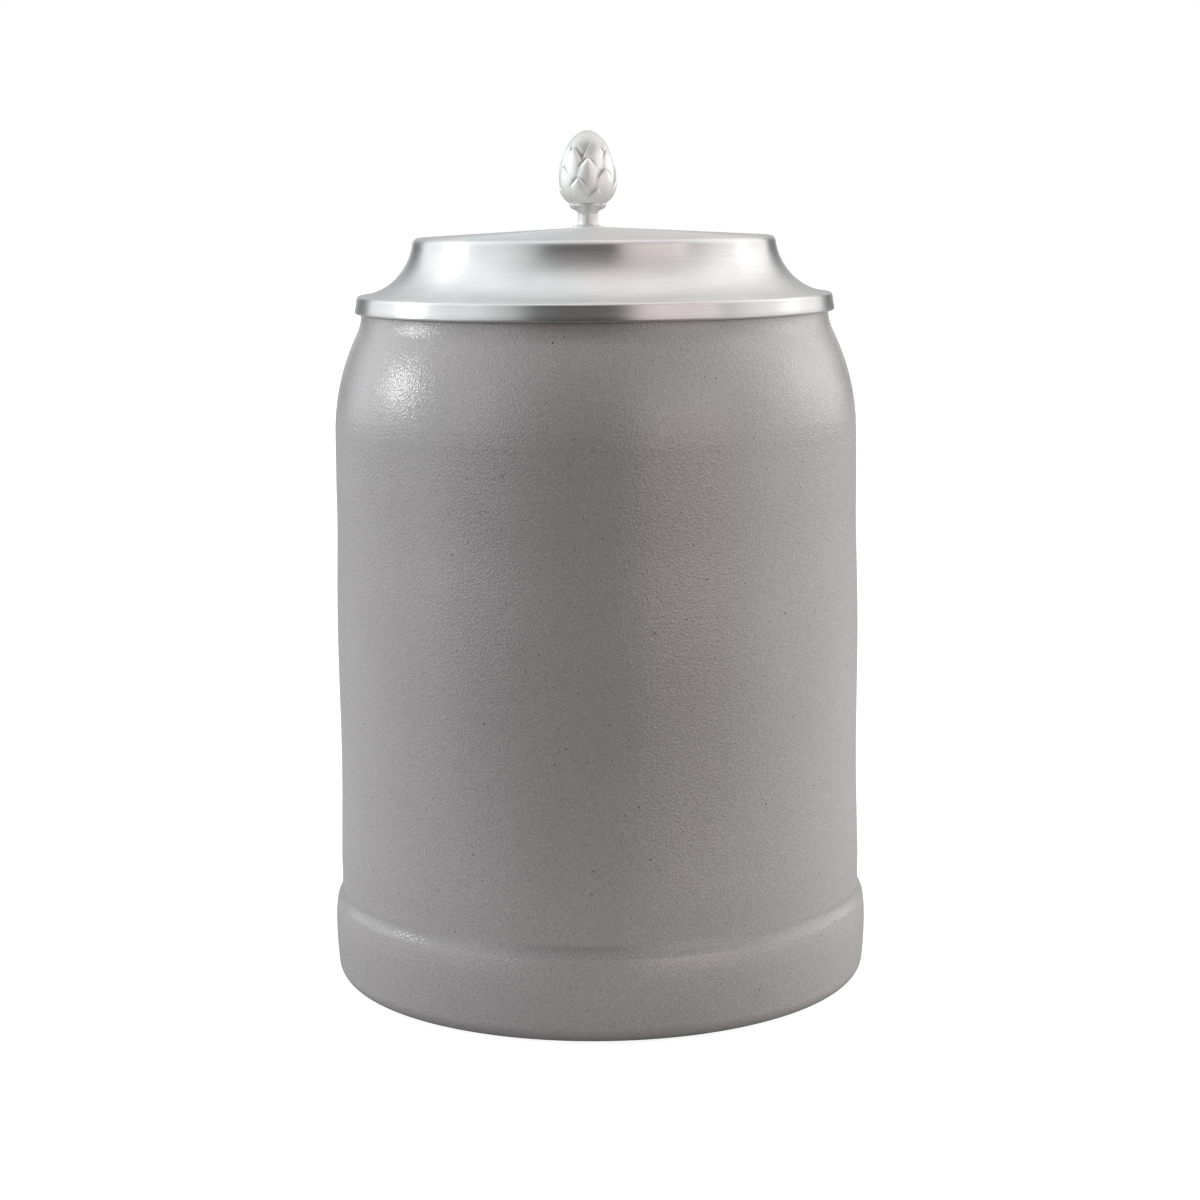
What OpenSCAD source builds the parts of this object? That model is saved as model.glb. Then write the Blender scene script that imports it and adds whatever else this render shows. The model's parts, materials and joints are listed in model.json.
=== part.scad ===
// Stoneware beer stein with a pewter lid that swings on a five-ring hinge.
// +Z is the axis of the mug, the origin is the centre of its base, and the handle points to +Y.

/* [Mug body] */
// Height of the mug from its base to its rim
body_h = 122; // [105:0.5:150]
// Outer radius of the wall where it leaves the foot band
wall_r = 47.15; // [42:0.05:56]
// How much the wall narrows on its way up to the shoulder
wall_taper = 0.75; // [0:0.05:2]
// Thickness of the wall
wall_t = 4.8; // [3.5:0.1:6.5]
// Thickness of the base
base_t = 7; // [5:0.5:10]
// How far the foot band stands out from the wall
foot_step = 1.35; // [0.5:0.05:3]
// Height of the foot band
foot_h = 17; // [13:0.5:24]
// How far the foot band draws in towards its lower edge
foot_swell = 0.3; // [0.1:0.05:0.8]
// Rounding of the lower edge
base_round = 3.2; // [1:0.2:5]
// Rounding of the foot band's upper edge
step_round = 7; // [4:0.5:10]
// Rounding inside, between the floor and the wall
floor_round = 8; // [3:0.5:14]
// How far the neck draws in from the top of the wall
neck_in = 5.1; // [3:0.1:8]
// Rounding of the shoulder
shoulder_round = 40; // [25:1:55]
// Rounding of the neck
neck_round = 8; // [5:0.5:14]
// Rounding of the lip, inside and outside
lip_round = 1.4; // [0.8:0.1:1.7]

/* [Handle] */
// Width of the handle's upper arm
handle_w = 21; // [17:0.5:26]
// Thickness of the handle's upper arm
handle_t = 10.5; // [8:0.5:12.5]
// Width of the handle at its lower root
handle_low_w = 17; // [13:0.5:23]
// Thickness of the handle at its lower root
handle_low_t = 8.5; // [6:0.5:11]
// Room for the fingers between the wall and the handle
grip_room = 28; // [22:0.5:38]
// Distance from the rim down to the middle of the upper arm
handle_drop = 15; // [13:0.5:22]
// Distance from the upper arm down to where the handle stands out furthest
handle_bow = 29; // [20:1:40]
// Height of the lower root
handle_low_z = 27; // [24:1:44]
// Fullness of the upper bend
bend_top = 0.62; // [0.45:0.01:0.8]
// Fullness of the lower bend
bend_low = 0.66; // [0.45:0.01:0.8]
// Fall of the handle on its way in to the lower root
root_fall = 9; // [4:0.5:16]
// How square the handle's oval section is
handle_square = 2.6; // [2:0.1:4]
// Gap of the luted joint between the handle and the wall
lute_gap = 0.05; // [0.02:0.01:0.1]

/* [Strap and hinge] */
// Width of the pewter strap along the handle
strap_w = 8; // [6:0.5:11]
// Thickness of the strap
strap_t = 1.4; // [1:0.1:2]
// Gap between the strap and the handle
strap_gap = 0.15; // [0.05:0.05:0.3]
// Gap between the strap and the mug's wall
strap_room = 2.1; // [1.5:0.1:4]
// Depth of the hinge pin's axis below the top of the lid's flange
hinge_drop = 0.4; // [0:0.1:0.6]
// Length of the hinge over its five rings
hinge_w = 18; // [16:0.5:22]
// Outer radius of the hinge rings
ring_r = 4; // [3.4:0.1:4.6]
// Side gap between neighbouring rings
ring_gap = 0.2; // [0.1:0.05:0.4]
// Clearance of each ring in the other half of the hinge
swing_gap = 0.3; // [0.2:0.05:0.5]
// Radius of the hinge pin
pin_r = 1.5; // [1:0.1:2]
// Clearance round the pin in the fixed rings
pin_fit = 0.02; // [0.01:0.01:0.05]
// Clearance round the pin in the moving rings
pin_run = 0.06; // [0.03:0.01:0.1]
// Thickness of the web that carries the fixed rings
web_t = 5; // [4:0.2:5.6]
// Height of the domed end caps
cap_h = 1.3; // [0.8:0.1:2]
// Gap filled by solder under each soldered piece
solder_gap = 0.05; // [0.02:0.01:0.1]

/* [Lid] */
// Thickness of the lid's pewter
lid_t = 1.2; // [0.9:0.1:1.8]
// Gap between the lid's seat and the rim
seat_gap = 0.2; // [0.1:0.05:0.5]
// Clearance between the lid's band and the neck
band_gap = 0.45; // [0.4:0.05:0.8]
// Thickness of the band
band_t = 0.88; // [0.6:0.02:1.6]
// Depth of the band below the lid's seat
band_h = 1.6; // [1:0.1:2.2]
// How far the band leans in towards its upper edge
band_lean = 0.35; // [0.1:0.05:0.6]
// Rounding of the band's upper edge
band_round = 0.6; // [0.3:0.1:0.9]
// Radius of the cove between the flange and the crown
cove_r = 10.5; // [8:0.25:13]
// Height of the crown's edge above the flange
lid_rise = 10.2; // [7.5:0.1:11.5]
// Rounding of the crown's edge
crown_round = 1.2; // [0.6:0.1:2]
// Rise of the crown from its edge to its centre
crown_rise = 1.6; // [0.6:0.1:4]
// How far the tang's tongue reaches in over the lid's edge
tongue_in = 9; // [6:0.5:11]
// Depth of the tongue at the hinge
tongue_t = 5.4; // [4.6:0.1:6]
// Height of the tongue's top above the hinge rings
tongue_over = 1.2; // [0.8:0.1:2]
// Ledge of the tongue behind the thumb-lift's pedestal
tongue_ledge = 0.5; // [0.2:0.1:0.8]

/* [Thumb-lift] */
// Distance of the thumb-lift in front of the pin's axis
thumb_front = 3.5; // [3:0.1:5]
// Radius of the pedestal's foot
ped_r = 4.8; // [4:0.1:5.2]
// Thickness of the pedestal's foot
ped_foot_h = 0.8; // [0.5:0.1:1.2]
// Radius of the pedestal's waist
waist_r = 3; // [2.4:0.1:3.6]
// Height of the pedestal up to the top of its collar
ped_h = 5.4; // [4.5:0.1:8]
// Radius of the collar
collar_r = 4.1; // [3.8:0.1:4.8]
// Height of the flare between the collar and the stem
flare_h = 2.6; // [1.5:0.1:4]
// Radius of the stem
stem_r = 1.82; // [1.4:0.02:2.2]
// Length of the plain stem
stem_h = 0.5; // [0.2:0.1:3]
// Height of the calyx cup under the cone
calyx_h = 2.4; // [1.6:0.1:3]
// Radius of the calyx rim
calyx_r = 3.7; // [3.5:0.1:4.4]
// Depth of the cone's foot in the calyx
cone_seat = 0.4; // [0.2:0.1:0.8]
// Height of the cone
cone_h = 14.5; // [11:0.1:18]
// Largest radius of the cone
cone_r = 5.95; // [5:0.05:7]
// How far the scales stand out at their tips
scale_lift = 0.9; // [0.4:0.05:1.2]
// How far a scale rounds off towards its edges
scale_bulge = 0.28; // [0.1:0.02:0.5]

/* [Hidden] */
$fn = 64;

stoneware = [0.58, 0.56, 0.55];
brushed_pewter = [0.72, 0.73, 0.73];
bright_pewter = [0.80, 0.81, 0.81];
steel = [0.62, 0.63, 0.65];

// Steps of the small, middling and long arcs in an outline
small_steps = 6;
arc_steps = 8;
long_steps = 14;

// Mug levels and radii
foot_r = wall_r + foot_step;
wall_top_r = wall_r - wall_taper;
neck_r = wall_top_r - neck_in;
step_turn = acos(1 - foot_step / step_round);
step_z = foot_h - step_round * sin(step_turn);
neck_z = body_h - lip_round;
neck_turn = acos(1 - neck_in / (shoulder_round + neck_round));
shoulder_z = neck_z - (shoulder_round + neck_round) * sin(neck_turn);
shoulder_centre = [wall_top_r - shoulder_round, shoulder_z];
neck_centre = [neck_r + neck_round, neck_z];
mouth_r = neck_r - wall_t;
bore_r = wall_r - wall_t;

// Lid levels and radii
band_in_r = neck_r + band_gap;
lid_r = band_in_r + band_t;
seat_z = body_h + seat_gap;
flange_z = seat_z + lid_t;
crown_z = flange_z + lid_rise;
cove_centre = [lid_r, flange_z + cove_r];
edge_in = band_lean + band_round;
edge_z = cove_centre.y - sqrt(pow(cove_r, 2) - pow(edge_in, 2));
edge_centre = [lid_r - edge_in, edge_z - band_round];
cove_start = 270 - asin(edge_in / cove_r);
cove_end = 180 + asin((cove_r + crown_round - lid_rise) / cove_r);
crown_r = lid_r + cove_r * cos(cove_end);
crown_slope = atan(crown_rise / crown_r);
under_r = cove_r + lid_t;
under_start = 180 + asin((cove_r + lid_t - lid_rise) / under_r);
under_end = 180 + acos((lid_r - mouth_r) / under_r);

// Hinge places, with the rings numbered from -X
hinge_y = wall_top_r + strap_room + strap_w / 2;
hinge_z = flange_z - hinge_drop;
ring_count = 5;
fixed_rings = [0, 2, 4];
middle_ring = [2];
moving_rings = [1, 3];
ring_w = (hinge_w - (ring_count - 1) * ring_gap) / ring_count;
ring_pitch = ring_w + ring_gap;
tongue_w = 3 * ring_w + 2 * ring_gap;
tongue_z = hinge_z + ring_r + tongue_over;
tongue_tip_y = lid_r - tongue_in;
thumb_y = hinge_y - thumb_front;
tongue_back_y = thumb_y + ped_r + tongue_ledge;

// Handle route in the plane of Y and Z: a straight arm under the strap, then two bends
arm_z = body_h - handle_drop;
arm_margin = 1.5;
arm_stops_y = [mouth_r, hinge_y - strap_w / 2, hinge_y + strap_w / 2, hinge_y + strap_w / 2 + arm_margin];
arm_last = len(arm_stops_y) - 1;
bow_y = wall_r + grip_room + (handle_t + handle_low_t) / 4;
bow_z = arm_z - handle_bow;
root_y = bore_r - handle_low_t;
handle_sides = 28;
top_steps = 14;
low_steps = 20;

// Foot of the hinge's web on the strap
strap_top_z = arm_z + handle_t / 2 + strap_gap + strap_t;
foot_inset = 0.4;

// Pattern of the cone's scales: tips and lengths are shares of its height, half widths are angles,
// and the relief fades out where the cone is thin
scale_rows = 4;
scales_round = 5;
first_tip = 0.28;
tip_pitch = (1 - first_tip) / (scale_rows - 1);
scale_length = 0.62;
scale_half = 41;
scale_point = 0.85;
relief_fade = 2;

// Egg that holds the cone: powers of its outline, and the shares of its height where it is cut
egg_belly = 0.68;
egg_full = 0.475;
egg_low = 0.008;
egg_high = 0.996;
cone_sides = 60;
cone_steps = 40;
cone_z = tongue_z + ped_h + flare_h + stem_h + calyx_h;

// Points of an arc, without its first point, so that arcs can follow each other
function arc(centre, r, from, to, steps = arc_steps) =
    [for (i = [1 : steps])
        let (a = from + (to - from) * i / steps)
        centre + r * [cos(a), sin(a)]];

// One point of a cubic curve
function cubic(p, t) =
    pow(1 - t, 3) * p[0] + 3 * t * pow(1 - t, 2) * p[1] + 3 * t * t * (1 - t) * p[2] + pow(t, 3) * p[3];

// Points of a cubic curve, without its first point
function curve(p, steps = arc_steps) = [for (i = [1 : steps]) cubic(p, i / steps)];

function mean(points) = [for (p = points) 1] * points / len(points);
function unit(v) = v / norm(v);
function signed_pow(v, e) = sign(v) * pow(abs(v), e);

// Closed solid through rings of points that all have the same count
module loft(rings) {
    n = len(rings[0]);
    last = len(rings) - 1;
    points = concat([for (ring = rings) each ring], [mean(rings[0]), mean(rings[last])]);
    sides = [for (i = [0 : last - 1], j = [0 : n - 1], k = [0, 1])
        let (a = i * n + j, b = i * n + (j + 1) % n)
        k == 0 ? [a, a + n, b + n] : [a, b + n, b]];
    start_cap = [for (j = [0 : n - 1]) [n * (last + 1), j, (j + 1) % n]];
    end_cap = [for (j = [0 : n - 1]) [n * (last + 1) + 1, n * last + (j + 1) % n, n * last + j]];
    polyhedron(points, concat(sides, start_cap, end_cap));
}

// Outside of the mug from the centre of the base up to the lip, as radius and height
function mug_outside() = concat(
    [[0, 0], [foot_r - foot_swell - base_round, 0]],
    arc([foot_r - foot_swell - base_round, base_round], base_round, -90, 0),
    [for (i = [1 : small_steps])
        let (share = i / small_steps)
        [foot_r - foot_swell * pow(1 - share, 2), base_round + (step_z - base_round) * share]],
    arc([foot_r - step_round, step_z], step_round, 0, step_turn),
    [[wall_top_r, shoulder_z]],
    arc(shoulder_centre, shoulder_round, 0, neck_turn, long_steps),
    arc(neck_centre, neck_round, 180 + neck_turn, 180));

// Lip and inside of the mug, from the lip down to the centre of the floor
function mug_inside() = concat(
    arc([neck_r - lip_round, neck_z], lip_round, 0, 90, small_steps),
    [[mouth_r + lip_round, body_h]],
    arc([mouth_r + lip_round, neck_z], lip_round, 90, 180, small_steps),
    arc(neck_centre, neck_round + wall_t, 180, 180 + neck_turn),
    arc(shoulder_centre, shoulder_round - wall_t, neck_turn, 0, long_steps),
    [[bore_r, base_t + floor_round]],
    arc([bore_r - floor_round, base_t + floor_round], floor_round, 0, -90),
    [[0, base_t]]);

module stein_body() {
    color(stoneware) rotate_extrude() polygon(concat(mug_outside(), mug_inside()));
}

// The mug as a full solid, grown by a gap, that cuts the handle's roots to the wall
module mug_envelope(gap) {
    rotate_extrude() polygon([for (p = concat(mug_outside(), [[0, neck_z]])) p.x > 0 ? p + [gap, 0] : p]);
}

// Middle line of the handle, from inside the upper wall round to inside the lower wall
function handle_route() = concat(
    [for (y = arm_stops_y) [y, arm_z]],
    let (end_y = arm_stops_y[arm_last])
    curve([[end_y, arm_z],
           [end_y + bend_top * (bow_y - end_y), arm_z],
           [bow_y, bow_z + bend_top * (arm_z - bow_z)],
           [bow_y, bow_z]], top_steps),
    curve([[bow_y, bow_z],
           [bow_y, bow_z - bend_low * (bow_z - handle_low_z)],
           [root_y + bend_low * (bow_y - root_y), handle_low_z + root_fall],
           [root_y, handle_low_z]], low_steps));

// Point of the handle's oval section, as an offset across and through the handle
function oval(i, half_w, half_t) =
    let (a = 360 * i / handle_sides)
    [half_w * signed_pow(cos(a), 2 / handle_square), half_t * signed_pow(sin(a), 2 / handle_square)];

// Ring of points round one stop of the route, square to it; past the arm the handle thins out
function handle_ring(route, i) =
    let (last = len(route) - 1,
         along = unit(route[min(i + 1, last)] - route[max(i - 1, 0)]),
         share = max(0, (i - arm_last) / (last - arm_last)),
         half_w = handle_w / 2 + (handle_low_w - handle_w) / 2 * share,
         half_t = handle_t / 2 + (handle_low_t - handle_t) / 2 * share)
    [for (j = [0 : handle_sides - 1])
        let (p = oval(j, half_w, half_t))
        [p.x, route[i].x + p.y * along.y, route[i].y - p.y * along.x]];

module handle() {
    route = handle_route();
    color(stoneware) difference() {
        loft([for (i = [0 : len(route) - 1]) handle_ring(route, i)]);
        mug_envelope(lute_gap);
    }
}

// Section of the handle's upper arm, grown all round
module arm_section(grow) {
    polygon([for (i = [0 : handle_sides - 1]) oval(i, handle_w / 2 + grow, handle_t / 2 + grow)]);
}

// A section stood along the arm, centred under the hinge
module on_arm(length) {
    translate([0, hinge_y + length / 2, arm_z]) rotate([90, 0, 0]) linear_extrude(length) children();
}

module handle_strap() {
    color(brushed_pewter) on_arm(strap_w) difference() {
        arm_section(strap_gap + strap_t);
        arm_section(strap_gap);
    }
}

// Cylinders along the pin's axis at the places of the numbered rings
module rings(places, r, margin = 0) {
    for (i = places)
        translate([i * ring_pitch - hinge_w / 2 - margin, hinge_y, hinge_z])
            rotate([0, 90, 0]) cylinder(h = ring_w + 2 * margin, r = r);
}

module pin_rod(r, length) {
    translate([-length / 2, hinge_y, hinge_z]) rotate([0, 90, 0]) cylinder(h = length, r = r);
}

// Side view of the web, flared where it stands on the strap
module web_side() {
    foot_half = strap_w / 2 - foot_inset;
    flare = foot_half - web_t / 2;
    flare_z = strap_top_z + flare;
    half = concat([[web_t / 2, hinge_z], [web_t / 2, flare_z]],
                  arc([foot_half, flare_z], flare, 180, 270, small_steps),
                  [[foot_half, arm_z]]);
    polygon(concat(half, [for (i = [len(half) - 1 : -1 : 0]) [-half[i].x, half[i].y]]));
}

module hinge_shank() {
    color(brushed_pewter) difference() {
        union() {
            rings(fixed_rings, ring_r);
            translate([-hinge_w / 2, hinge_y, 0])
                rotate([90, 0, 90]) linear_extrude(hinge_w) web_side();
        }
        on_arm(strap_w) arm_section(strap_gap + strap_t + solder_gap);
        rings(moving_rings, ring_r + swing_gap, ring_gap);
        pin_rod(pin_r + pin_fit, 2 * hinge_w);
    }
}

module hinge_pin() {
    color(steel) pin_rod(pin_r, hinge_w);
}

// Domed cover of one pin end, a slice off a ball
module end_cap() {
    ball_r = (pow(ring_r, 2) + pow(cap_h, 2)) / (2 * cap_h);
    intersection() {
        translate([0, 0, cap_h - ball_r]) sphere(r = ball_r);
        cylinder(h = cap_h, r = ring_r);
    }
}

module hinge_end_caps() {
    color(brushed_pewter) for (side = [-1, 1])
        translate([side * hinge_w / 2, hinge_y, hinge_z]) rotate([0, side * 90, 0]) end_cap();
}

// Outside of the lid from the foot of its band to its centre, grown by a gap
function lid_outside(gap) = concat(
    [[lid_r + gap, seat_z - band_h]],
    [[lid_r - band_lean + gap, edge_centre.y]],
    arc(edge_centre, band_round + gap, 0, 90, small_steps),
    arc(cove_centre, cove_r - gap, cove_start, cove_end, long_steps),
    [[crown_r + gap, crown_z - crown_round]],
    arc([crown_r - crown_round, crown_z - crown_round], crown_round + gap, 0, 90 - crown_slope, small_steps),
    [[0, crown_z + crown_rise + gap]]);

// Underside of the lid from its centre out to the inside of its band
function lid_underside() = concat(
    [[0, crown_z + crown_rise - lid_t]],
    [cove_centre + under_r * [cos(under_start), sin(under_start)]],
    arc(cove_centre, under_r, under_start, under_end, long_steps),
    [[mouth_r, seat_z], [band_in_r, seat_z], [band_in_r, seat_z - band_h]]);

module lid_shell() {
    color(brushed_pewter) rotate_extrude() polygon(concat(lid_outside(0), lid_underside()));
}

module lid_envelope(gap) {
    rotate_extrude() polygon(concat(lid_outside(gap), [[0, seat_z - band_h]]));
}

// Tongue seen from above, with a round tip on the lid
module tongue_plan() {
    round_y = tongue_tip_y + tongue_w / 2;
    translate([0, round_y]) circle(d = tongue_w);
    translate([-tongue_w / 2, round_y]) square([tongue_w, tongue_back_y - round_y]);
}

module lid_tang() {
    color(brushed_pewter) difference() {
        union() {
            translate([0, 0, tongue_z - tongue_t]) linear_extrude(tongue_t) tongue_plan();
            rings(moving_rings, ring_r);
        }
        lid_envelope(solder_gap);
        rings(middle_ring, ring_r + swing_gap, ring_gap);
        pin_rod(pin_r + pin_run, 2 * hinge_w);
    }
}

// Turned pedestal, stem and calyx of the thumb-lift, from the tongue up
function stem_profile() =
    let (waist_z = (ped_foot_h + ped_h) / 2,
         flare_z = ped_h + flare_h,
         cup_z = flare_z + stem_h,
         cup_bend = calyx_h / 3,
         rim_z = cup_z + calyx_h)
    concat(
        [[0, 0], [ped_r, 0], [ped_r, ped_foot_h]],
        curve([[ped_r, ped_foot_h], [waist_r, ped_foot_h], [waist_r, ped_foot_h], [waist_r, waist_z]]),
        curve([[waist_r, waist_z], [waist_r, ped_h], [collar_r, waist_z], [collar_r, ped_h]]),
        curve([[collar_r, ped_h], [stem_r, ped_h], [stem_r, ped_h], [stem_r, flare_z]]),
        [[stem_r, cup_z]],
        curve([[stem_r, cup_z], [stem_r, rim_z - cup_bend], [calyx_r, cup_z + cup_bend], [calyx_r, rim_z]]),
        [[0, rim_z]]);

// Radius of the smooth egg that holds the cone, at a share of its height
function egg(t) = cone_r * pow(sin(180 * pow(t, egg_belly)), egg_full);

// Depth of one row of scales below the egg: pointed arches that rise towards their tips
function scale_depth(row, t, a) =
    let (s = (t - first_tip - row * tip_pitch) / scale_length + 1,
         pitch = 360 / scales_round,
         off = abs((a + (row % 2 == 0 ? pitch : pitch / 2) + 360) % pitch - pitch / 2),
         reach = s < 0 || s > 1 ? 0 : scale_half * pow(1 - s * s, scale_point))
    off >= reach ? scale_lift : scale_lift * (1 - s) + scale_bulge * pow(off / reach, 2);

// Point of the cone at a share of its height and an angle from its front
function cone_point(t, a) =
    let (depth = min([for (row = [0 : scale_rows - 1]) scale_depth(row, t, a)]),
         r = egg(t) - depth * min(1, relief_fade * egg(t) / cone_r))
    [r * sin(a), -r * cos(a), t * cone_h];

module thumb_lift() {
    color(bright_pewter) union() {
        translate([0, thumb_y, tongue_z]) rotate_extrude() polygon(stem_profile());
        translate([0, thumb_y, cone_z - cone_seat])
            loft([for (i = [0 : cone_steps])
                let (t = egg_low + (egg_high - egg_low) * i / cone_steps)
                [for (j = [0 : cone_sides - 1]) cone_point(t, 360 * j / cone_sides)]]);
    }
}

stein_body();
handle();
handle_strap();
hinge_shank();
hinge_pin();
hinge_end_caps();
lid_shell();
lid_tang();
thumb_lift();
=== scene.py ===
"""Looks of a stoneware beer stein with a pewter lid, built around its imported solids.

Sizes are in millimetres and turn into metres where a mesh is made. +Z is the axis of the mug and
+Y points to the handle, as in the solids.
"""
import json
import math

import bpy
import numpy as np
from mathutils import Matrix, Vector


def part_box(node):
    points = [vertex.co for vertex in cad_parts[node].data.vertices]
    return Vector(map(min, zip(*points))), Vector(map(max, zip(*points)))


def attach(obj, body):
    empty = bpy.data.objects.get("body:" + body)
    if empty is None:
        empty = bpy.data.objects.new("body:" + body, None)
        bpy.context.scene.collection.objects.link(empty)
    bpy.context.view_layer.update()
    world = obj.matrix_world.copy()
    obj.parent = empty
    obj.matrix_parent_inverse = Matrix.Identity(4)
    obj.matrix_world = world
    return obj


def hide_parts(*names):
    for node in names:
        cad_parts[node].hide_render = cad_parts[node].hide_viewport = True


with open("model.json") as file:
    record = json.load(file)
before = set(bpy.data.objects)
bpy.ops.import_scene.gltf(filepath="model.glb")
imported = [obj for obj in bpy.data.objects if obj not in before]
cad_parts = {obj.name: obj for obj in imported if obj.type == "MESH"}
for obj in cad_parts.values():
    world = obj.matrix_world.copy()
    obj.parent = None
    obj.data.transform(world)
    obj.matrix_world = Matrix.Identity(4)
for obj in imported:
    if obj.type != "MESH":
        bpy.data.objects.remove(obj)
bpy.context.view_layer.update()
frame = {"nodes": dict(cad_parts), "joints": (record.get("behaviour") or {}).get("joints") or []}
MM = 0.001
TINY = 1e-6  # length or angle that counts as nothing


def box_mm(node):
    """Lowest and highest corner of a CAD node, in millimetres."""
    low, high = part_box(node)
    return np.array(low) / MM, np.array(high) / MM


# Mug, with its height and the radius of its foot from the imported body
body_high = box_mm("stein_body")[1]
BODY_H, FOOT_R = body_high[2], body_high[1]
FOOT_H = 16.45  # top of the foot band
FOOT_STEP = 1.25  # how far the band stands out from the wall
FOOT_SWELL = 0.35  # how far the band widens above the base
BASE_ROUND = 3.15  # rounding under the band
SLOPE_TURN = 26.0  # lean of the straight slope over the band, in degrees
SLOPE_ROUND = 2.0  # tight rounding below that slope
FOOT_TURN = 9.0  # lean where the tight rounding ends, in degrees
FOOT_ROUND = 25.0  # gentle rounding from there down
WALL_R = FOOT_R - FOOT_STEP
WALL_TAPER = 0.68  # how far the wall draws in on its way up
WALL_T, BASE_T = 4.8, 7.0
FLOOR_ROUND = 8.0  # rounding of the inside floor
SHOULDER_ROUND, NECK_ROUND, LIP_ROUND = 40.0, 9.0, 1.4
NECK_IN = 5.05  # how far the neck stands in from the top of the wall
WALL_TOP_R = WALL_R - WALL_TAPER
NECK_R = WALL_TOP_R - NECK_IN
NECK_Z = BODY_H - LIP_ROUND
MOUTH_R, BORE_R = NECK_R - WALL_T, WALL_R - WALL_T

# Painted shade in the groove over the foot band: the glaze is darkened there to stand in for its dimmer
# reflection
GROOVE_LOW, GROOVE_FULL = 2.2, 1.3  # where it starts and is full, below the band's top
GROOVE_TOP = 0.8  # where it ends, above the band's top
GROOVE_SHADE_TONE = 0.77  # how much of the glaze's tone is left in it

# Thrown surface: a slow wave of the wall, and the fine spiral that fingers leave
TRUE_Z, THROWN_Z = FOOT_H + 2.0, FOOT_H + 8.0  # turned true below the first, thrown above the second
WAVE_DEPTH, WAVE_LENGTH = 0.17, 52.0
WAVE_START, WAVE_END, WAVE_FADE = 26.0, 92.0, 14.0
THROW_DEPTH, THROW_PITCH, THROW_FADE = 0.012, 2.3, 8.0
THROW_MEAN, THROW_SWING = 0.6, 0.4  # the spiral comes and goes round a mean strength
THROW_BEAT, THROW_PHASE = 5.3, 2.0  # rise for each radian of that, and where it starts

# Hinge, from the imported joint, and the strap that holds it
HINGE_Y, HINGE_Z = (value / MM for value in frame["joints"][0]["pos_m"][1:])
RING_R, CAP_H = 4.0, 1.3
STRAP_W, STRAP_T, STRAP_EDGE = 8.0, 1.4, 0.45
STRAP_GAP = 0.15  # between the strap and the handle

# Handle
HANDLE_W, HANDLE_T = 21.0, 10.5  # across and through the arm
HANDLE_LOW_W, HANDLE_LOW_T = 17.0, 8.5  # the same at the lower root
HANDLE_SQUARE = 2.6  # power of its oval section: 2 is an ellipse, and more is squarer
ARM_DROP = 15.0  # from the lip down to the arm's middle
ARM_Z = BODY_H - ARM_DROP
ARM_MARGIN = 1.5  # straight arm beyond the strap
HANDLE_BOW = 29.0  # from the arm down to the widest place of the bow
HANDLE_LOW_Z = 27.0  # where the lower arm's line would end inside the mug
BOW_SPARE = 0.15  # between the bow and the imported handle's box
BOW_OUT = box_mm("handle")[1][1] - BOW_SPARE
BEND_TOP, BEND_LOW = 0.62, 0.66  # reach of the curve's handles above and below the bow
ROOT_FALL = 9.0  # how much higher than its end the lower arm comes in
ROOT_FILLET, ROOT_BLEND = 3.4, 9.0  # spread of the roots, and length over which they take the wall's shape
ROOT_SINK, ROOT_TENON = 0.06, 0.5  # depth of the roots in the wall, and of their closed ends behind it

# Lid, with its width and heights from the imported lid
lid_low, lid_high = box_mm("lid_shell")
LID_R, APEX_Z = lid_high[1], lid_high[2]
LID_T, LID_RISE = 1.2, 10.1
BAND_T, BAND_H = 0.88, 1.6
BAND_LEAN = 0.35  # how far the band leans in at its top
BAND_ROUND, BAND_RIM = 0.6, 0.38  # rounding over the band, and of its lower edge
BAND_DROP = 0.28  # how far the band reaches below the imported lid
BAND_LOW_Z = lid_low[2] - BAND_DROP
COVE_R, CROWN_ROUND, CROWN_RISE = 10.5, 1.2, 1.7
SEAT_Z = lid_low[2] + BAND_H
FLANGE_Z = SEAT_Z + LID_T
CROWN_Z = APEX_Z - CROWN_RISE

# Stem of the thumb-lift, stood on the tang's tongue
THUMB_IN = 3.5  # from the hinge's axis towards the lid
THUMB_Y, THUMB_Z = HINGE_Y - THUMB_IN, box_mm("thumb_lift")[0][2]
PED_R, PED_FOOT_H, PED_EDGE, PED_H = 4.8, 0.8, 0.25, 6.4
WAIST_R, COLLAR_R = 2.6, 3.1
FLARE_H, STEM_R, STEM_H = 0.8, 1.9, 1.3
FLARE_OUT, FLARE_LOW, FLARE_HIGH = 0.4, 0.1, 0.3  # handles of the curve from the collar to the stem
CALYX_H, CALYX_R, CALYX_LIP, CALYX_DOME = 2.4, 3.7, 0.5, 0.1
CALYX_LOBES, CALYX_DENT = 8, 0.16  # count, and depth of the dents between them
CALYX_DIP, CALYX_START = 1.2, 0.3  # fall of the rim for each depth of dent, and where the dents start

# Cone of the thumb-lift; shares are of its height, or of a scale's half width
CONE_SEAT, CONE_H, CONE_R = 0.65, 14.7, 5.95
CONE_FROM, CONE_TO = 0.008, 0.9985  # shares where its skin starts and ends
EGG_BELLY, EGG_FULL = 0.68, 0.475  # powers of the egg's curve
SCALES, SCALE_TURN, FRONT_SCALE = 27, -100.0, 16  # count, degrees from one to the next, the one in front
FIRST_TIP, TIP_STEP, SCALE_LENGTH = 0.04, 0.037, 0.6  # shares
SCALE_HALF, SCALE_POINT = 43.0, 0.8  # half width in degrees, and power of its pointed outline
SCALE_LIFT, SCALE_BULGE = 0.75, 0.38
SCALE_LIP, LIP_SHARE, SCALE_RIB, RIB_SHARE = 0.1, 0.13, 0.02, 0.12  # heights and shares
LOW_RELIEF, CLOSED_LOW = 0.25, 0.45  # relief at the foot, and the share up to which it grows
TOP_CLOSING, CLOSED_TOP, CLOSED_FULL = 0.85, 0.62, 0.9  # how far the tip closes, and between which shares
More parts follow.
